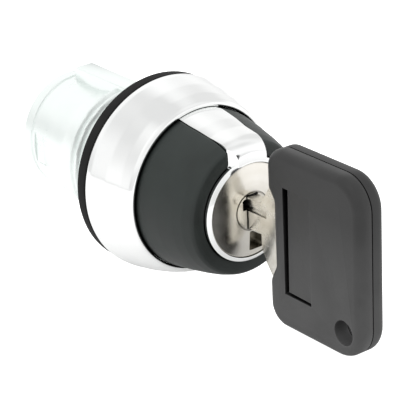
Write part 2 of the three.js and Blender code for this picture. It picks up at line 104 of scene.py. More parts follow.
def rounded(points, steps=5):
    """Corner points (first, second, radius) as a polyline whose corners are true arcs."""
    line = []
    for i, (first, second, radius) in enumerate(points):
        if radius <= 0:
            line.append((first, second))
            continue
        corner = Vector((first, second))
        to_last = Vector(points[i - 1][:2]) - corner
        to_next = Vector(points[(i + 1) % len(points)][:2]) - corner
        last_length, next_length = to_last.length, to_next.length
        to_last.normalize()
        to_next.normalize()
        angle = math.acos(max(-1.0, min(1.0, to_last.dot(to_next))))
        if angle > math.pi - 0.02 or angle < 0.02:
            line.append((first, second))
            continue
        half_tan = math.tan(angle / 2)
        # an arc takes up less than half of either neighbouring edge
        setback = min(radius / half_tan, last_length * 0.49, next_length * 0.49)
        fitted = setback * half_tan
        centre = corner + (to_last + to_next).normalized() * (fitted / math.sin(angle / 2))
        start = corner + to_last * setback - centre
        end = corner + to_next * setback - centre
        start_angle = math.atan2(start.y, start.x)
        end_angle = math.atan2(end.y, end.x)
        sweep = (end_angle - start_angle + math.pi) % (2 * math.pi) - math.pi
        for k in range(steps + 1):
            turn = start_angle + sweep * k / steps
            line.append(
                (centre.x + fitted * math.cos(turn), centre.y + fitted * math.sin(turn))
            )
    return line


def lathe(name, profile, segments=192, radius=None):
    """Turned part about the Y axis from a closed loop of (r, y) points.

    No faces are made along the axis. radius(r, y, angle) may shape the part round the turn.
    """
    verts, faces = [], []
    count = len(profile)
    for i in range(segments):
        angle = 2 * math.pi * i / segments
        cosine, sine = math.cos(angle), math.sin(angle)
        for r, y in profile:
            shaped = radius(r, y, angle) if radius else r
            verts.append((shaped * cosine, y, shaped * sine))
    for i in range(segments):
        k = (i + 1) % segments
        for j in range(count):
            l = (j + 1) % count
            face = [i * count + j, i * count + l, k * count + l, k * count + j]
            on_axis = profile[j][0] < 1e-6, profile[l][0] < 1e-6
            if all(on_axis):
                continue
            if on_axis[0]:
                face.pop(3)
            elif on_axis[1]:
                face.pop(2)
            faces.append(face)
    return mesh_object(name, verts, faces)


def extrude(name, near, far):
    """A solid between two loops with the same number of points."""
    n = len(near)
    faces = [tuple(range(n)), tuple(range(2 * n - 1, n - 1, -1))]
    for i in range(n):
        k = (i + 1) % n
        faces.append((i, k, n + k, n + i))
    return mesh_object(name, near + far, faces, smooth=30)


def prism(name, outline, span, axis="x"):
    """A flat outline given thickness. axis x: outline is (y, z); axis y: outline is (x, z)."""
    near, far = (
        [(depth, across, z) if axis == "x" else (across, depth, z) for across, z in outline]
        for depth in span
    )
    return extrude(name, near, far)


def box(name, x, y, z):
    x0, x1 = sorted(x)
    z0, z1 = z
    return prism(name, [(x0, z0), (x1, z0), (x1, z1), (x0, z1)], y, "y")


def rod(name, start, end, radius, segments):
    """A round bar between two points; it may not run along Z."""
    start, end = Vector(start), Vector(end)
    along = (end - start).normalized()
    side = along.cross(Vector((0, 0, 1))).normalized()
    other = along.cross(side)
    angles = [2 * math.pi * i / segments for i in range(segments)]
    near, far = (
        [tuple(c + (side * math.cos(q) + other * math.sin(q)) * radius) for q in angles]
        for c in (start, end)
    )
    return extrude(name, near, far)


def apply_modifiers(piece):
    bpy.context.view_layer.update()
    depsgraph = bpy.context.evaluated_depsgraph_get()
    mesh = bpy.data.meshes.new_from_object(piece.evaluated_get(depsgraph))
    piece.modifiers.clear()
    old = piece.data
    piece.data = mesh
    mesh.name = piece.name
    bpy.data.meshes.remove(old)


def boolean(piece, tool, operation="DIFFERENCE"):
    """Cuts, joins or intersects the piece with a tool, which is used up."""
    modifier = piece.modifiers.new("cut", "BOOLEAN")
    modifier.operation = operation
    modifier.solver = "EXACT"
    modifier.object = tool
    apply_modifiers(piece)
    mesh = tool.data
    bpy.data.objects.remove(tool)
    bpy.data.meshes.remove(mesh)


def cut_box(piece, x, y, z):
    boolean(piece, box("cut", x, y, z))


def bevel(piece, width, segments=3, angle=40.0, smooth=35.0):
    """Rounds the edges sharper than angle, then shades the piece."""
    modifier = piece.modifiers.new("edge", "BEVEL")
    modifier.width = width * MM
    modifier.segments = segments
    modifier.limit_method = "ANGLE"
    modifier.angle_limit = math.radians(angle)
    modifier.use_clamp_overlap = True
    modifier.harden_normals = False
    apply_modifiers(piece)
    bm = bmesh.new()
    bm.from_mesh(piece.data)
    bmesh.ops.remove_doubles(bm, verts=bm.verts, dist=1e-7)
    bmesh.ops.dissolve_degenerate(bm, edges=bm.edges, dist=1e-7)
    bm.to_mesh(piece.data)
    bm.free()
    shade(piece, smooth)


# ------------------------------------------------------------------ node helpers
class Nodes:
    """A node tree, emptied; node inputs take either a plain value or a socket to link."""

    def __init__(self, tree):
        self.tree = tree
        tree.nodes.clear()

    def add(self, kind, inputs, **settings):
        node = self.tree.nodes.new("ShaderNode" + kind)
        for name, value in settings.items():
            setattr(node, name, value)
        for key, value in inputs.items():
            if isinstance(value, bpy.types.NodeSocket):
                self.tree.links.new(value, node.inputs[key])
            else:
                node.inputs[key].default_value = value
        return node

    def noise_at(self, vector, scale, detail, rough=0.5):
        inputs = {"Vector": vector, "Scale": scale, "Detail": detail, "Roughness": rough}
        return self.add("TexNoise", inputs).outputs["Fac"]

    def range(self, value, lo, hi, from_lo=0.0, from_hi=1.0):
        inputs = {
            "Value": value, "From Min": from_lo, "From Max": from_hi, "To Min": lo, "To Max": hi,
        }
        return self.add("MapRange", inputs).outputs["Result"]

    def math(self, operation, *values):
        return self.add("Math", dict(enumerate(values)), operation=operation).outputs[0]

    def split(self, vector):
        return self.add("SeparateXYZ", {"Vector": vector}).outputs


class Surface(Nodes):
    """A principled material in object coordinates."""

    def __init__(self, name):
        self.material = bpy.data.materials.new(name)
        self.material.use_nodes = True
        super().__init__(self.material.node_tree)
        self.position = self.add("TexCoord", {}).outputs["Object"]

    def noise(self, scale, detail=3.0, rough=0.5, stretch=None):
        vector = self.position
        if stretch:
            mapping = self.add("Mapping", {"Vector": vector, "Scale": stretch})
            vector = mapping.outputs["Vector"]
        return self.noise_at(vector, scale, detail, rough)

    def two_tone(self, value, dark, light, low=0.3, high=0.7):
        """Blends from dark at low to light at high."""
        node = self.add("ValToRGB", {"Fac": value})
        stops = ((low, dark), (high, light))
        for element, (position, colour) in zip(node.color_ramp.elements, stops):
            element.position = position
            element.color = (*colour, 1)
        return node.outputs["Color"]

    def mix(self, amount, first, second, blend="MIX"):
        inputs = {"Fac": amount, "Color1": first, "Color2": second}
        return self.add("MixRGB", inputs, blend_type=blend).outputs["Color"]

    def bump(self, height, strength, distance, **under):
        inputs = {"Strength": strength, "Distance": distance, "Height": height, **under}
        return self.add("Bump", inputs).outputs["Normal"]

    def crevice_shade(self, distance):
        """Painted shade mask from ambient occlusion: 0 deep in grooves and holes, 1 on open
        faces.
        """
        occlusion = self.add("AmbientOcclusion", {"Distance": distance}, samples=8)
        return self.range(occlusion.outputs["AO"], lo=0.0, hi=1.0, from_lo=0.35, from_hi=0.85)

    def edge_wear(self, radius):
        """1 near edges, 0 on flats, from a bevelled normal against the true one."""
        soft = self.add("Bevel", {"Radius": radius}, samples=4).outputs["Normal"]
        true = self.add("NewGeometry", {}).outputs["Normal"]
        dot = self.add("VectorMath", {0: soft, 1: true}, operation="DOT_PRODUCT")
        return self.range(dot.outputs["Value"], lo=1.0, hi=0.0, from_lo=0.80, from_hi=1.0)

    def principled(self, inputs):
        shader = self.add("BsdfPrincipled", inputs).outputs["BSDF"]
        self.add("OutputMaterial", {"Surface": shader})
        return self.material


# ------------------------------------------------------------------ materials
MIDTONES = dict(from_lo=0.3, from_hi=0.7)  # the part of a cloudy noise that drives gloss


def moulded(name, base, rough, grain, grain_height, specular, painted_light_by_height=None):
    """Injection-moulded plastic: fine grain, cloudy gloss, slightly polished edges."""
    spread = 0.22  # how far the tone strays either way
    node = Surface(name)
    cloud = node.noise(scale=160, detail=3, rough=0.55)
    fine = node.noise(scale=grain, detail=4, rough=0.6)
    dark = [c * (1 - spread) for c in base]
    light = [c * (1 + spread) for c in base]
    worn = (*[c * 2.0 + 0.008 for c in base], 1)
    wear = node.edge_wear(radius=0.00035)
    colour = node.mix(node.range(wear, lo=0, hi=0.30), node.two_tone(cloud, dark, light), worn)
    # painted shade: grooves and holes are darkened to near black and lose most of their specular
    unshaded = node.crevice_shade(distance=0.0016)
    colour = node.mix(unshaded, (0.0012, 0.0012, 0.0012, 1), colour)
    if painted_light_by_height:
        # painted light: the tone is multiplied by a gain that changes with height, making up for
        # less light on the low end
        painted_light_gain = node.range(node.split(node.position)["Z"], **painted_light_by_height)
        grey = node.add("CombineXYZ", {"X": painted_light_gain, "Y": painted_light_gain, "Z": painted_light_gain}).outputs["Vector"]
        colour = node.mix(1.0, colour, grey, blend="MULTIPLY")
    gloss = node.range(cloud, lo=rough - 0.05, hi=rough + 0.06, **MIDTONES)
    return node.principled({
        "Base Color": colour,
        "Roughness": node.math("SUBTRACT", gloss, node.math("MULTIPLY", wear, 0.10)),
        "Specular IOR Level": node.range(unshaded, lo=0.02, hi=specular),
        "Normal": node.bump(fine, strength=0.35, distance=grain_height),
    })


def rubber_material():
    node = Surface("gasket_rubber")
    cloud = node.noise(scale=220, detail=4, rough=0.6)
    fine = node.noise(scale=5200, detail=3, rough=0.6)
    return node.principled({
        "Base Color": node.two_tone(cloud, dark=(0.004,) * 3, light=(0.009,) * 3),
        "Roughness": node.range(cloud, lo=0.62, hi=0.8),
        "Specular IOR Level": 0.16,
        "Normal": node.bump(fine, strength=0.5, distance=6e-6),
    })


def chrome_material():
    """Bright chrome over a polished casting: soft waviness, faint hairlines, cloudy gloss."""
    node = Surface("bright_chrome")
    cloud = node.noise(scale=90, detail=3, rough=0.5)
    wave = node.noise(scale=150, detail=2, rough=0.45)
    hair = node.noise(scale=900, detail=5, rough=0.7, stretch=(1, 14, 1))
    gloss = node.range(cloud, lo=0.06, hi=0.12, **MIDTONES)
    streaks = node.range(hair, lo=0.0, hi=0.05, from_lo=0.45, from_hi=0.8)
    waves = node.bump(wave, strength=0.25, distance=2.0e-5)
    return node.principled({
        "Base Color": node.two_tone(cloud, dark=(0.875, 0.885, 0.88), light=(0.93, 0.935, 0.93)),
        "Metallic": 1.0,
        "Roughness": node.math("ADD", gloss, streaks),
        "Normal": node.bump(hair, strength=0.10, distance=2.0e-6, Normal=waves),
    })


def casting_material():
    """Plated zinc casting, satin: fine grain, pale and slightly greenish."""
    node = Surface("plated_casting")
    cloud = node.noise(scale=140, detail=4, rough=0.6)
    grain = node.noise(scale=3200, detail=4, rough=0.65)
    gloss = node.range(cloud, lo=0.26, hi=0.36, **MIDTONES)
    return node.principled({
        "Base Color": node.two_tone(
            cloud, dark=(0.795, 0.845, 0.825), light=(0.845, 0.885, 0.868)
        ),
        "Metallic": 0.9,
        "Roughness": node.math("ADD", gloss, node.range(grain, lo=-0.04, hi=0.05)),
        "Normal": node.bump(grain, strength=0.35, distance=5e-6),
    })


def turned_metal(name, dark, light, rough, aniso, lines=0.35):
    """Metal turned about the Y axis: concentric tool lines and a streaky reflection."""
    node = Surface(name)
    place = node.split(node.position)
    squares = [node.math("MULTIPLY", place[axis], place[axis]) for axis in "XZ"]
    radius = node.math("SQRT", node.math("ADD", *squares))
    # noise over radius and depth alone runs in rings
    rings = node.add("CombineXYZ", {"X": radius, "Y": place["Y"]}).outputs["Vector"]
    tool = node.noise_at(rings, scale=5200, detail=3, rough=0.6)
    band = node.noise_at(rings, scale=900, detail=2)
    cloud = node.noise(scale=260, detail=4, rough=0.6)
    tone = node.math("MULTIPLY", node.math("ADD", cloud, band), 0.5)
    metal = node.two_tone(tone, dark, light, low=0.35, high=0.65)
    gloss = node.range(cloud, lo=rough - 0.05, hi=rough + 0.07, **MIDTONES)
    tangent = node.add("Tangent", {}, direction_type="RADIAL", axis="Y")
    return node.principled({
        # painted shade: grooves and holes are darkened to a dull brown-black
        "Base Color": node.mix(node.crevice_shade(distance=0.0022), (0.16, 0.15, 0.125, 1), metal),
        "Metallic": 1.0,
        "Roughness": node.math("ADD", gloss, node.range(band, lo=-0.03, hi=0.05)),
        "Anisotropic": aniso,
        "Tangent": tangent.outputs["Tangent"],
        "Normal": node.bump(tool, strength=lines, distance=3e-6),
    })


def blade_material():
    """Nickel-plated strip with lengthwise brushing."""
    node = Surface("key_nickel")
    cloud = node.noise(scale=420, detail=4, rough=0.6)
    brush = node.noise(scale=2600, detail=4, rough=0.7, stretch=(1, 0.06, 1))
    gloss = node.range(cloud, lo=0.16, hi=0.28, **MIDTONES)
    return node.principled({
        "Base Color": node.two_tone(cloud, dark=(0.66, 0.63, 0.56), light=(0.82, 0.80, 0.745)),
        "Metallic": 1.0,
        "Roughness": node.math("ADD", gloss, node.range(brush, lo=-0.04, hi=0.08)),
        "Normal": node.bump(brush, strength=0.3, distance=3e-6),
    })


def steel_material():
    rough = 0.30
    node = Surface("spring_steel")
    cloud = node.noise(scale=500, detail=4, rough=0.6)
    fine = node.noise(scale=4200, detail=3, rough=0.6)
    return node.principled({
        "Base Color": node.two_tone(cloud, dark=(0.42, 0.43, 0.44), light=(0.60, 0.61, 0.62)),
        "Metallic": 1.0,
        "Roughness": node.range(cloud, lo=rough - 0.06, hi=rough + 0.08, **MIDTONES),
        "Normal": node.bump(fine, strength=0.2, distance=3e-6),
    })


def nylon_material():
    node = Surface("natural_nylon")
    cloud = node.noise(scale=200, detail=4, rough=0.6)
    fine = node.noise(scale=2800, detail=3, rough=0.6)
    return node.principled({
        "Base Color": node.two_tone(cloud, dark=(0.70, 0.69, 0.64), light=(0.80, 0.79, 0.75)),
        "Roughness": node.range(cloud, lo=0.38, hi=0.52),
        "Subsurface Weight": 0.12,
        "Subsurface Radius": (0.001, 0.0008, 0.0006),
        "Normal": node.bump(fine, strength=0.3, distance=5e-6),
    })


MATERIALS = {
    "knob": moulded(
        "knob_plastic", base=(0.0112, 0.0146, 0.0134), rough=0.50,
        grain=3000, grain_height=6e-6, specular=0.36,
    ),
    # painted light: the bow is paler towards its low end, which gets less light
    "bow": moulded(
        "bow_plastic", base=(0.0215, 0.0215, 0.0215), rough=0.46,
        grain=2400, grain_height=7e-6, specular=0.42,
        painted_light_by_height=dict(from_lo=-0.0115, from_hi=0.006, lo=2.1, hi=0.6),
    ),
    "rubber": rubber_material(),
    "chrome": chrome_material(),
    "casting": casting_material(),
    "lock": turned_metal(
        "lock_nickel", dark=(0.70, 0.668, 0.60), light=(0.845, 0.82, 0.775),
        rough=0.17, aniso=0.45, lines=0.28,
    ),
    "blade": blade_material(),
    "steel": steel_material(),
    "brass": turned_metal(
        "brass_turned", dark=(0.55, 0.38, 0.14), light=(0.74, 0.56, 0.26), rough=0.30, aniso=0.3
    ),
    "nylon": nylon_material(),
}


def dress(piece, material):
    piece.data.materials.clear()
    piece.data.materials.append(MATERIALS[material])


def finish_piece(piece, material, body, node):
    """Gives the piece its material and moving body, in place of a CAD node, which it hides."""
    dress(piece, material)
    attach(piece, body)
    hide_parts(node)


# ------------------------------------------------------------------ bezel and gasket
BEZEL_PROFILE = [  # r, y, corner radius
    (13.72, -2.06, 0.0), (14.64, -2.06, 0.20), (14.86, -2.6, 0.5), (14.82, -3.4, 3.0),
    (14.30, -6.4, 8.0), (13.66, -8.9, 6.0), (13.10, -10.5, 1.6), (12.72, -11.08, 0.45),
    (12.20, -11.02, 0.28), (12.15, -10.3, 0.2), (12.15, -4.5, 0.0), (13.72, -4.5, 0.0),
]
bezel = lathe("bezel_ring", rounded(BEZEL_PROFILE, steps=8), segments=224)
finish_piece(bezel, "chrome", "housing", "bezel")

GASKET_PROFILE = [  # r, y, corner radius
    (11.27, -1.99, 0.1), (14.68, -1.99, 0.22), (14.68, -0.01, 0.40), (11.27, -0.01, 0.1),
]
gasket = lathe("gasket_ring", rounded(GASKET_PROFILE))
# notch at the top of the bore
cut_box(gasket, x=(-2.08, 2.08), y=(-3.0, 0.5), z=(9.0, 12.0))
shade(gasket)
finish_piece(gasket, "rubber", "housing", "panel_gasket")

# ------------------------------------------------------------------ threaded barrel
THREAD_PITCH = 1.5
THREAD_START, THREAD_END = 0.1, 8.6
THREAD_STEP = 0.085  # spacing of the profile points along the thread
THREAD_ROOT, THREAD_HEIGHT = 10.15, 0.84
RUN_IN, RUN_OUT = 0.6, 1.3  # lengths over which the thread grows and fades


def thread_radius(r, y, angle):
    if not THREAD_START <= y <= THREAD_END or abs(r - THREAD_ROOT) >= 1e-6:
        return r
    phase = ((y - angle / (2 * math.pi) * THREAD_PITCH) / THREAD_PITCH) % 1.0
    triangle = 1 - abs(2 * phase - 1)
    # the triangle wave is cut flat at root and crest
    height = max(0.0, min(1.0, (triangle - 0.10) / 0.74))
    fade = min(1.0, (y - THREAD_START) / RUN_IN, (THREAD_END - y) / RUN_OUT)
    return THREAD_ROOT + THREAD_HEIGHT * height * fade


BARREL_FRONT = [(8.8, -4.3), (13.62, -4.3), (13.62, -2.07), (THREAD_ROOT, -2.07)]  # r, y
BARREL_REAR = [  # r, y, corner radius: back along the outside, then forward down the bore
    (10.14, 8.7, 0.0), (9.52, 11.5, 4.0), (9.48, 13.0, 3.0), (9.20, 19.7, 0.10),
    (8.97, 19.78, 0.06), (8.97, 20.32, 0.06), (9.17, 20.4, 0.10), (9.15, REAR - 0.32, 0.22),
    (8.90, REAR, 0.15), (8.46, REAR, 0.08), (8.46, REAR - 0.35, 0.0),
    (8.84, REAR - 0.35, 0.0), (8.84, REAR - 1.25, 0.0), (8.46, REAR - 1.25, 0.0),
    (8.46, 7.4, 0.0), (9.0, 6.9, 0.0), (9.0, 4.4, 0.0), (7.0, 4.4, 0.0),
    (7.0, 3.7, 0.0), (8.8, 3.7, 0.0),
]
thread_points = []
thread_y = THREAD_START
while thread_y <= THREAD_END + 1e-6:
    thread_points.append((THREAD_ROOT, thread_y))
    thread_y += THREAD_STEP
barrel = lathe(
    "threaded_barrel", BARREL_FRONT + thread_points + rounded(BARREL_REAR), radius=thread_radius
)
# rib along the top
rib = box("rib", x=(-1.58, 1.58), y=(-2.0, 18.0), z=(9.05, 11.42))
bevel(rib, 0.18)
boolean(barrel, rib, "UNION")
# a flat on either side near the rear
for _, sign in SIDES:
    cut_box(barrel, x=(sign * 8.87, sign * 12), y=(16.6, 19.2), z=(-2.4, 2.4))
bevel(barrel, 0.05, segments=2, angle=50)
finish_piece(barrel, "casting", "housing", "barrel_housing")

# ------------------------------------------------------------------ rear guide and snap ring
GUIDE_RIM = [  # r, y, corner radius; the last point only steers the corner before it
    (0, REAR - 4.38, 0), (8.31, REAR - 4.38, 0.1), (8.31, REAR - 1.3, 0.05),
    (7.58, REAR - 1.3, 0.05), (7.58, REAR - 0.01, 0.25), (7.32, REAR - 0.01, 0.0),
]
GUIDE_DISH = [  # r, y of the shallow dish and centre hole in the rear face
    (3.6, REAR - 0.01), (3.4, REAR - 0.25), (1.2, REAR - 0.25), (1.0, REAR - 0.9),
    (0, REAR - 0.9),
]
guide = lathe("rear_guide_plate", rounded(GUIDE_RIM)[:-1] + GUIDE_DISH, segments=144)
slot_half_height = STEM_HALF_HEIGHT + STEM_PLAY
for _, sign in SIDES:
    cut_box(
        guide,
        x=(sign * (STEM_INNER - STEM_PLAY), sign * (STEM_OUTER + STEM_PLAY)),
        y=(REAR - 6, REAR + 1),
        z=(-slot_half_height, slot_half_height),
    )
bevel(guide, 0.07, segments=2, angle=50)
finish_piece(guide, "nylon", "housing", "rear_guide")

SNAP_INNER, SNAP_OUTER = 7.75, 8.72
SNAP_FROM, SNAP_SWEEP, SNAP_STEPS = 105, 330, 120  # degrees; the gap is at the top
snap_angles = [
    math.radians(SNAP_FROM + SNAP_SWEEP * i / SNAP_STEPS) for i in range(SNAP_STEPS + 1)
]
snap_outline = [(SNAP_OUTER * math.cos(q), SNAP_OUTER * math.sin(q)) for q in snap_angles]
snap_outline += [
    (SNAP_INNER * math.cos(q), SNAP_INNER * math.sin(q)) for q in reversed(snap_angles)
]
snap = prism("snap_ring", snap_outline, (REAR - 1.12, REAR - 0.48), "y")
bevel(snap, 0.08, segments=2, angle=50)
finish_piece(snap, "steel", "housing", "rear_snap_ring")

# ------------------------------------------------------------------ knob shell
TAB_REAR_HALF = 3.55  # half width of the index tab at its rear end
TAB_NARROWING = 0.45  # how much less it is at the front
TAB_GAP = 0.14  # between the tab and the knob
NARROW_FROM, NARROW_LENGTH, NARROW_STEPS = -12.0, 8.0, 24


def tab_wedge(y_rear, z_span, gap=0.0, left_front=None):
    """Block round the index tab, narrowing forwards along soft curves.

    left_front lists (half width, y) points for the left front corner if it is not square.
    """
    flank = [(TAB_REAR_HALF + gap, y_rear)]
    for i in range(NARROW_STEPS + 1):
        ease = 0.5 - 0.5 * math.cos(math.pi * i / NARROW_STEPS)
        y = NARROW_FROM - NARROW_LENGTH * i / NARROW_STEPS
        flank.append((TAB_REAR_HALF - TAB_NARROWING * ease + gap, y))
    corner = (TAB_REAR_HALF - TAB_NARROWING + gap, -23.0)
    left = flank + (left_front or [corner])
    outline = flank + [corner] + [(-x, y) for x, y in reversed(left)]
    near, far = ([(x, y, z) for x, y in outline] for z in z_span)
    return extrude("wedge", near, far)


KNOB_PROFILE = [  # r, y, corner radius
    (11.93, -5.35, 0.2), (12.0, -10.4, 4.0), (11.92, -12.0, 6.0), (11.46, -15.0, 10.0),
    (10.92, -17.8, 8.0), (10.50, -19.55, 2.4), (9.92, -21.22, 1.0), (9.0, -21.3, 0.6),
    (7.88, -21.3, 0.10), (7.88, -13.6, 0.0), (8.98, -13.6, 0.0), (8.98, -18.9, 0.0),
    (9.35, -18.9, 0.0), (10.15, -12.5, 0.0), (10.2, -5.35, 0.0),
]
knob = lathe("knob_skin", rounded(KNOB_PROFILE, steps=8), segments=224)
boolean(knob, tab_wedge(y_rear=-9.0, z_span=(5, 14), gap=TAB_GAP))
# three round grooves in the lower wall, open to the rear
GROOVE_CIRCLE, GROOVE_RADIUS = 10.25, 0.7
for degrees in (-135, -90, -45):
    angle = math.radians(degrees)
    x, z = GROOVE_CIRCLE * math.cos(angle), GROOVE_CIRCLE * math.sin(angle)
    boolean(knob, rod("cut", (x, -9.9, z), (x, -5.0, z), GROOVE_RADIUS, segments=24))
bevel(knob, 0.10, angle=50)
finish_piece(knob, "knob", "rotor", "knob_shell")

# ------------------------------------------------------------------ ring and index tab
TAB_PROFILE = [  # r, y, corner radius of the turned body that the tab is cut from
    (0, -9.2, 0), (12.10, -9.2, 0.1), (12.13, -10.9, 1.6), (11.95, -12.0, 5.0),
    (11.50, -15.0, 10.0), (10.98, -17.4, 5.0), (10.40, -22.12, 3.8), (0, -22.12, 0),
]
TAB_LEFT_FRONT = [  # half width, y: this corner is cut off flat beside the ring
    (TAB_REAR_HALF - TAB_NARROWING, -20.98), (1.9, -22.18), (1.85, -23.0),
]
TAB_CORE = [  # r, y of the hollow inside the tab
    (0, -23), (7.24, -23), (7.24, -13.4), (10.0, -13.4), (10.0, -8), (0, -8),
]
RING_PROFILE = [  # r, y, corner radius
    (7.12, -13.6, 0), (7.12, -22.18, 0.03), (7.17, -22.22, 0.04), (7.76, -21.84, 0.10),
    (7.80, -21.2, 0.05), (7.80, -13.6, 0),
]
tab = lathe("index_sleeve_ring", rounded(TAB_PROFILE, steps=12), segments=224)
tab_block = tab_wedge(y_rear=-8.0, z_span=(6.4, 14), left_front=TAB_LEFT_FRONT)
boolean(tab, tab_block, "INTERSECT")
boolean(tab, lathe("core", TAB_CORE))
bevel(tab, 0.28, segments=5, angle=50)
boolean(tab, lathe("ring", rounded(RING_PROFILE)), "UNION")
shade(tab, 30)
finish_piece(tab, "chrome", "rotor", "index_sleeve")

# ------------------------------------------------------------------ lock cylinder
DOME_RADIUS = 50.0  # of the crowned lock face
DOME_FRONT = -22.44
LOCK_FACE = [(0.26 * k, 0) for k in range(11)]  # r, depth below the crown
LOCK_FACE += [(2.70, 0), (2.76, 0.15), (2.90, 0.15), (2.96, 0)]  # ring groove
LOCK_FACE += [(r, 0) for r in (3.3, 3.8, 4.3, 4.8, 5.2, 5.6, 6.0, 6.3, 6.6, 6.9, 6.97)]
LOCK_FACE += [(7.03, 0.03), (7.06, 0.12)]
LOCK_BODY = [(7.06, -21.2), (7.06, -13.0), (5.98, -13.0), (5.98, 3.55), (0, 3.55)]  # r, y
LOCK_FRONT = -23  # cuts in the face start in front of it


def dome_y(r):
    return DOME_FRONT + DOME_RADIUS - math.sqrt(DOME_RADIUS * DOME_RADIUS - r * r)


lock = lathe("lock_plug", [(r, dome_y(r) + depth) for r, depth in LOCK_FACE] + LOCK_BODY)
boolean(lock, box("tang", x=(-2.0, 2.0), y=(3.0, 8.4), z=(-3.8, 3.8)), "UNION")
# keyway, and a widening of it on the upper left
cut_box(lock, x=(-1.08, 1.08), y=(LOCK_FRONT, 2.4), z=(-2.6, 2.6))
KEYWAY_WIDENING = [(-1.72, 0.4), (0, 0.4), (0, 2.05), (-1.45, 2.05), (-1.72, 1.8)]  # x, z
boolean(lock, prism("cut", KEYWAY_WIDENING, (LOCK_FRONT, -15.6), "y"))
FACE_RECESS = [  # x, z, corner radius of the recess below the keyway
    (-0.6, -6.15, 0.3), (2.15, -6.15, 0.5), (2.15, -4.6, 0.5), (-0.1, -3.1, 0.2),
    (-0.6, -3.1, 0.2),
]
boolean(lock, prism("cut", rounded(FACE_RECESS), (LOCK_FRONT, -20.3), "y"))
# six wafer slots; their side pockets open upwards and downwards in turn
WAFER_FIRST, WAFER_PITCH, WAFER_COUNT = -9, 2, 6
for i in range(WAFER_COUNT):
    wafer_y = WAFER_FIRST + WAFER_PITCH * i
    y_span = (wafer_y - 0.5, wafer_y + 0.5)
    cut_box(lock, x=(-1.92, 1.92), y=y_span, z=(-7, 7))
    cut_box(lock, x=(1.8, 3.25), y=y_span, z=(-2.3, 7) if i % 2 == 0 else (-7, 2.3))
shade(lock, 30)
finish_piece(lock, "lock", "rotor", "lock_cylinder")

# ------------------------------------------------------------------ key
BLADE_OUTLINE = [  # y, z: lower edge forwards, round the head in the bow, upper edge back
    (2.1, -0.9), (0.9, -2.0), (-0.4, -1.5), (-1.6, -2.2), (-3.0, -1.3), (-4.4, -2.3),
    (-5.8, -1.7), (-7.2, -2.42), (-8.8, -1.5), (-10.2, -2.42), (-25.3, -2.42),
    (-25.4, -4.6), (-26.2, -6.3), (-27.8, -8.4), (-30.8, -8.4), (-30.8, -5.4),
    (-40.0, -5.4), (-40.0, 3.4), (-30.8, 3.4), (-30.8, 5.4), (-27.4, 5.4), (-25.9, 3.3),
    (-25.3, 2.42), (-10.2, 2.42), (-8.8, 1.7), (-7.4, 2.3), (-6.0, 1.4), (-4.6, 2.2),
    (-3.2, 1.6), (-1.8, 2.3), (-0.4, 1.6), (0.9, 2.0), (2.1, 0.9),
]
BLADE_HALF = 0.94  # half thickness
blade = prism("key_blade_strip", BLADE_OUTLINE, (-BLADE_HALF, BLADE_HALF))
# a lengthwise groove in either face
cut_box(blade, x=(-2, -0.62), y=(-26.5, 3), z=(0.35, 1.15))
cut_box(blade, x=(0.62, 2), y=(-26.5, 3), z=(-1.15, -0.35))
bevel(blade, 0.10, smooth=25)
finish_piece(blade, "blade", "key", "key_blade")

BOW_REAR, BOW_FRONT = -28.3, -47.6
BOW_BOTTOM, BOW_TOP = -14.35, 12.3
BOW_HALF = 2.4  # thickness of one moulded half
BOW_CORNER = 4.8
BOW_NOTCH = BOW_REAR - 1.2  # floor of the wide notch in the rear edge
BOW_EDGE = 1.35  # radius of the edge round the outer face
BOW_OUTLINE = rounded(
    [  # y, z, corner radius, counter-clockwise
        (BOW_REAR, BOW_BOTTOM, BOW_CORNER), (BOW_REAR, -7.75, 1.4), (BOW_NOTCH, -5.4, 1.4),
        (BOW_NOTCH, 4.4, 1.0), (BOW_REAR, 6.2, 1.4), (BOW_REAR, BOW_TOP, BOW_CORNER),
        (BOW_FRONT, BOW_TOP, BOW_CORNER), (BOW_FRONT, BOW_BOTTOM, BOW_CORNER),
    ],
    steps=14,
)
BOW_SECTIONS = [(0.045, 0.17), (0.09, 0.05), (0.20, 0.0), (1.0, 0.0)]  # x, inset of outline
for i in range(1, 11):
    angle = math.radians(90 * i / 10)
    BOW_SECTIONS.append(
        (BOW_HALF - BOW_EDGE + BOW_EDGE * math.sin(angle), BOW_EDGE - BOW_EDGE * math.cos(angle))
    )

RECESS_REAR, RECESS_FRONT = -32.05, -37.6
RECESS_BOTTOM, RECESS_TOP = -8.8, 7.25
RECESS_DEPTH, RECESS_GROOVE_DEPTH = 0.16, 1.05
RECESS_GROOVE = [  # y, z, corner radius: along the rear and bottom of the recess
    (RECESS_REAR, RECESS_BOTTOM, 0.2), (RECESS_REAR, RECESS_TOP, 0.2),
    (-33.0, RECESS_TOP, 0.2), (-32.75, -8.3, 0.0), (RECESS_FRONT, -8.42, 0.1),
    (RECESS_FRONT, RECESS_BOTTOM, 0.1),
]


def inset(outline, distance):
    """A counter-clockwise outline moved inwards, point for point."""
    moved = []
    for i, point in enumerate(outline):
        here = Vector(point)
        before = here - Vector(outline[i - 1])
        after = Vector(outline[(i + 1) % len(outline)]) - here
        before.normalize()
        after.normalize()
        normal = Vector((-before.y, before.x))
        mitre = (normal + Vector((-after.y, after.x))).normalized()
        shifted = here + mitre * (distance / mitre.dot(normal))
        moved.append((shifted.x, shifted.y))
    return moved


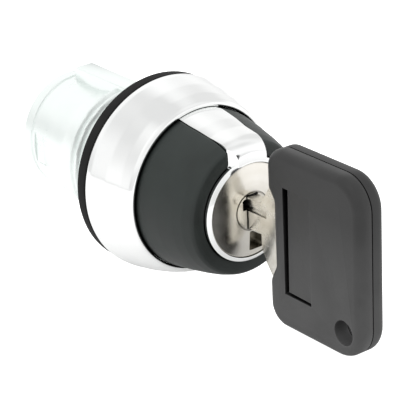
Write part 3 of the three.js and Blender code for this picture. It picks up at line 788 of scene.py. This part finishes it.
def bow_half(name, sign):
    """One moulded half: small lead-in at the split, straight wall, large edge round."""
    n = len(BOW_OUTLINE)
    verts, faces = [], []
    for x, distance in BOW_SECTIONS:
        verts += [(sign * x, y, z) for y, z in inset(BOW_OUTLINE, distance)]
    for i in range(len(BOW_SECTIONS) - 1):
        for j in range(n):
            k = (j + 1) % n
            faces.append((i * n + j, i * n + k, (i + 1) * n + k, (i + 1) * n + j))
    faces.append(tuple(range(n)))
    faces.append(tuple(range(len(verts) - 1, len(verts) - n - 1, -1)))
    half = mesh_object(name, verts, faces, smooth=30)
    # ring hole in the lower front corner
    boolean(half, rod("cut", (-4, -44.2, -10.3), (4, -44.2, -10.3), 1.85, segments=64))
    # pocket for the head and shoulders of the blade
    cut_box(half, x=(-1.1, 1.1), y=(-40.3, -26), z=(-5.7, 3.7))
    cut_box(half, x=(-1.1, 1.1), y=(-31.1, -26), z=(-8.7, 5.7))
    # shallow recess in the outer face, with a deep groove along two of its edges
    verts = [
        (sign * x, y, z)
        for y in (RECESS_REAR, RECESS_FRONT)
        for z in (RECESS_BOTTOM, RECESS_TOP)
        for x in (BOW_HALF - RECESS_DEPTH, BOW_HALF + 2)
    ]
    faces = [
        (0, 1, 3, 2), (4, 6, 7, 5), (0, 4, 5, 1), (2, 3, 7, 6), (0, 2, 6, 4), (1, 5, 7, 3),
    ]
    boolean(half, mesh_object("cut", verts, faces, smooth=30))
    groove_span = (sign * (BOW_HALF - RECESS_GROOVE_DEPTH), sign * 4)
    boolean(half, prism("cut", rounded(RECESS_GROOVE), groove_span))
    bevel(half, 0.12, angle=50, smooth=30)
    return half


for side, sign in SIDES:
    half = bow_half("key_bow_half_" + side, sign)
    finish_piece(half, "bow", "key", "key_bow_" + side)

# ------------------------------------------------------------------ pushers
STEM_SHOULDER, STEM_REAR = 9.8, REAR - 1.4
STEM_OUTLINE = [  # y, z: tapered at the front end
    (8.8, -0.35), (STEM_SHOULDER, -STEM_HALF_HEIGHT), (STEM_REAR, -STEM_HALF_HEIGHT),
    (STEM_REAR, STEM_HALF_HEIGHT), (STEM_SHOULDER, STEM_HALF_HEIGHT), (8.8, 0.35),
]
for side, sign in SIDES:
    node = "pusher_" + side
    stem_span = (sign * STEM_INNER, sign * STEM_OUTER)
    pusher = prism("pusher_stem_" + side, STEM_OUTLINE, stem_span)
    collar = box("collar", x=(sign * 5.0, sign * 7.9), y=(10.9, 11.5), z=(-1.8, 1.8))
    boolean(pusher, collar, "UNION")
    bevel(pusher, 0.12)
    finish_piece(pusher, "nylon", node, node)

# ------------------------------------------------------------------ carried-over inner nodes
for node, material in {
    "knob_seal": "rubber",
    "lock_sleeve": "brass",
    "detent_spring": "steel",
    "stop_ring": "steel",
    "lock_nut": "steel",
    "drive_cam": "nylon",
    "cam_screw": "steel",
    **{f"wafer_{i}": "brass" for i in range(1, WAFER_COUNT + 1)},
    **{f"wafer_spring_{i}": "steel" for i in range(1, WAFER_COUNT + 1)},
}.items():
    dress(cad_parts[node], material)

# The return springs are copied in steel from the CAD coils; they sit between the guide (fixed
# end, rear) and the collar of their pusher.
for side, _ in SIDES:
    node = f"pusher_spring_{side}"
    coil = bpy.data.objects.new(f"return_coil_{side}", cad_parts[node].data.copy())
    bpy.context.scene.collection.objects.link(coil)
    dress(coil, "steel")
    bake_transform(coil)
    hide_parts(node)

# ------------------------------------------------------------------ floor
FLOOR_HALF = 3  # metres
FLOOR_Z = CAD_LO.z - 0.0002
# A painted shadow: a soft round patch of floor glows less, in metres
SHADOW_PATCH_X, SHADOW_PATCH_Y, SHADOW_PATCH_RADIUS = 0.018, PANEL * MM - 0.046, 0.024
SHADOW_PATCH_DIMMING = 0.36
GLOW_ALL, GLOW_OUTSIDE_SHADOW = 0.06, 0.46
GLOW_TO_CAMERA = 0.80  # added only where the camera sees the floor directly


def floor_material():
    material = bpy.data.materials.new("floor_white")
    material.use_nodes = True
    node = Nodes(material.node_tree)
    camera_ray = node.add("LightPath", {}).outputs["Is Camera Ray"]
    camera_glow = node.math("MULTIPLY", camera_ray, GLOW_TO_CAMERA)
    place = node.split(node.add("NewGeometry", {}).outputs["Position"])
    squares = []
    for axis, middle in (("X", SHADOW_PATCH_X), ("Y", SHADOW_PATCH_Y)):
        offset = node.math("SUBTRACT", place[axis], middle)
        offset = node.math("MULTIPLY", offset, 1 / SHADOW_PATCH_RADIUS)
        squares.append(node.math("MULTIPLY", offset, offset))
    # Gaussian fall-off from the middle of the painted shadow
    falloff = node.math("EXPONENT", node.math("MULTIPLY", node.math("ADD", *squares), -0.5))
    painted_shadow = node.math("MULTIPLY", falloff, SHADOW_PATCH_DIMMING)
    base_glow = node.math("SUBTRACT", GLOW_OUTSIDE_SHADOW, painted_shadow)
    strength = node.math("ADD", node.math("ADD", camera_glow, GLOW_ALL), base_glow)
    diffuse = node.add("BsdfDiffuse", {"Color": (0.35, 0.35, 0.35, 1)})
    glow = node.add("Emission", {"Color": (1, 1, 1, 1), "Strength": strength})
    both = node.add("AddShader", {0: diffuse.outputs[0], 1: glow.outputs[0]})
    node.add("OutputMaterial", {"Surface": both.outputs[0]})
    return material


floor_mesh = bpy.data.meshes.new("floor")
floor_corners = [
    (x * FLOOR_HALF, y * FLOOR_HALF, FLOOR_Z) for x, y in ((-1, -1), (1, -1), (1, 1), (-1, 1))
]
floor_mesh.from_pydata(floor_corners, [], [(0, 1, 2, 3)])
floor = bpy.data.objects.new("floor", floor_mesh)
bpy.context.scene.collection.objects.link(floor)
floor_mesh.materials.append(floor_material())

# ------------------------------------------------------------------ world
WHITE = (1.0, 1.0, 1.0, 1)
world = bpy.data.worlds.new("studio")
bpy.context.scene.world = world
world.use_nodes = True
sky = Nodes(world.node_tree)
direction = sky.add("TexCoord", {}).outputs["Generated"]
sky_ramp = sky.add("ValToRGB", {"Fac": sky.split(direction)["Z"]})
# an even white at every height
for position in (0.12, 0.45):
    sky_ramp.color_ramp.elements.new(position)
for element in sky_ramp.color_ramp.elements:
    element.color = WHITE
sky_ramp.color_ramp.interpolation = "EASE"
# brightness drifts a little with direction
drift = sky.noise_at(direction, scale=1.7, detail=0.0)
brightness = sky.range(drift, lo=0.86, hi=1.12, from_lo=0.32, from_hi=0.62)
background = sky.add(
    "Background", {"Color": sky_ramp.outputs["Color"], "Strength": brightness}
)
sky.add("OutputWorld", {"Surface": background.outputs["Background"]})


# ------------------------------------------------------------------ lights
def softbox(name, location, size, power):
    """A square area light aimed at the middle of the product, unseen in reflections."""
    light = bpy.data.lights.new(name, "AREA")
    light.energy = power
    light.shape = "RECTANGLE"
    light.size = size
    light.size_y = size
    lamp = bpy.data.objects.new(name, light)
    bpy.context.scene.collection.objects.link(lamp)
    lamp.location = Vector(location)
    lamp.rotation_mode = "QUATERNION"
    aim = (CAD_LO + CAD_HI) / 2 - Vector(location)
    lamp.rotation_quaternion = aim.to_track_quat("-Z", "Y")
    lamp.visible_glossy = False


softbox("key_softbox", location=(-0.35, -0.15, 0.50), size=0.45, power=3.2)
softbox("top_softbox", location=(0.10, 0.20, 0.55), size=0.50, power=2.4)
softbox("front_softbox", location=(0.25, -0.55, 0.20), size=0.30, power=1.2)

# ------------------------------------------------------------------ camera
CAMERA_PLACE = Vector((-165.661, -232.226 + PANEL, 118.920))  # mm
CAMERA_RIGHT = Vector((0.78666, -0.61594, -0.04211))
CAMERA_UP = Vector((0.28030, 0.29555, 0.91328))
CAMERA_BACK = Vector((-0.55008, -0.73025, 0.40514))

scene = bpy.context.scene
camera_data = bpy.data.cameras.new("camera")
camera = bpy.data.objects.new("camera", camera_data)
scene.collection.objects.link(camera)
scene.camera = camera
camera_data.sensor_width = 36.0
camera_data.lens = 178.20172
camera_data.clip_start = 0.01
camera_data.clip_end = 20.0
rotation = Matrix((CAMERA_RIGHT, CAMERA_UP, CAMERA_BACK)).transposed()
camera.matrix_world = Matrix.Translation(CAMERA_PLACE * MM) @ rotation.to_4x4()

scene.view_settings.view_transform = "Standard"
scene.view_settings.look = "None"
scene.view_settings.exposure = 0.0
scene.view_settings.gamma = 1.0
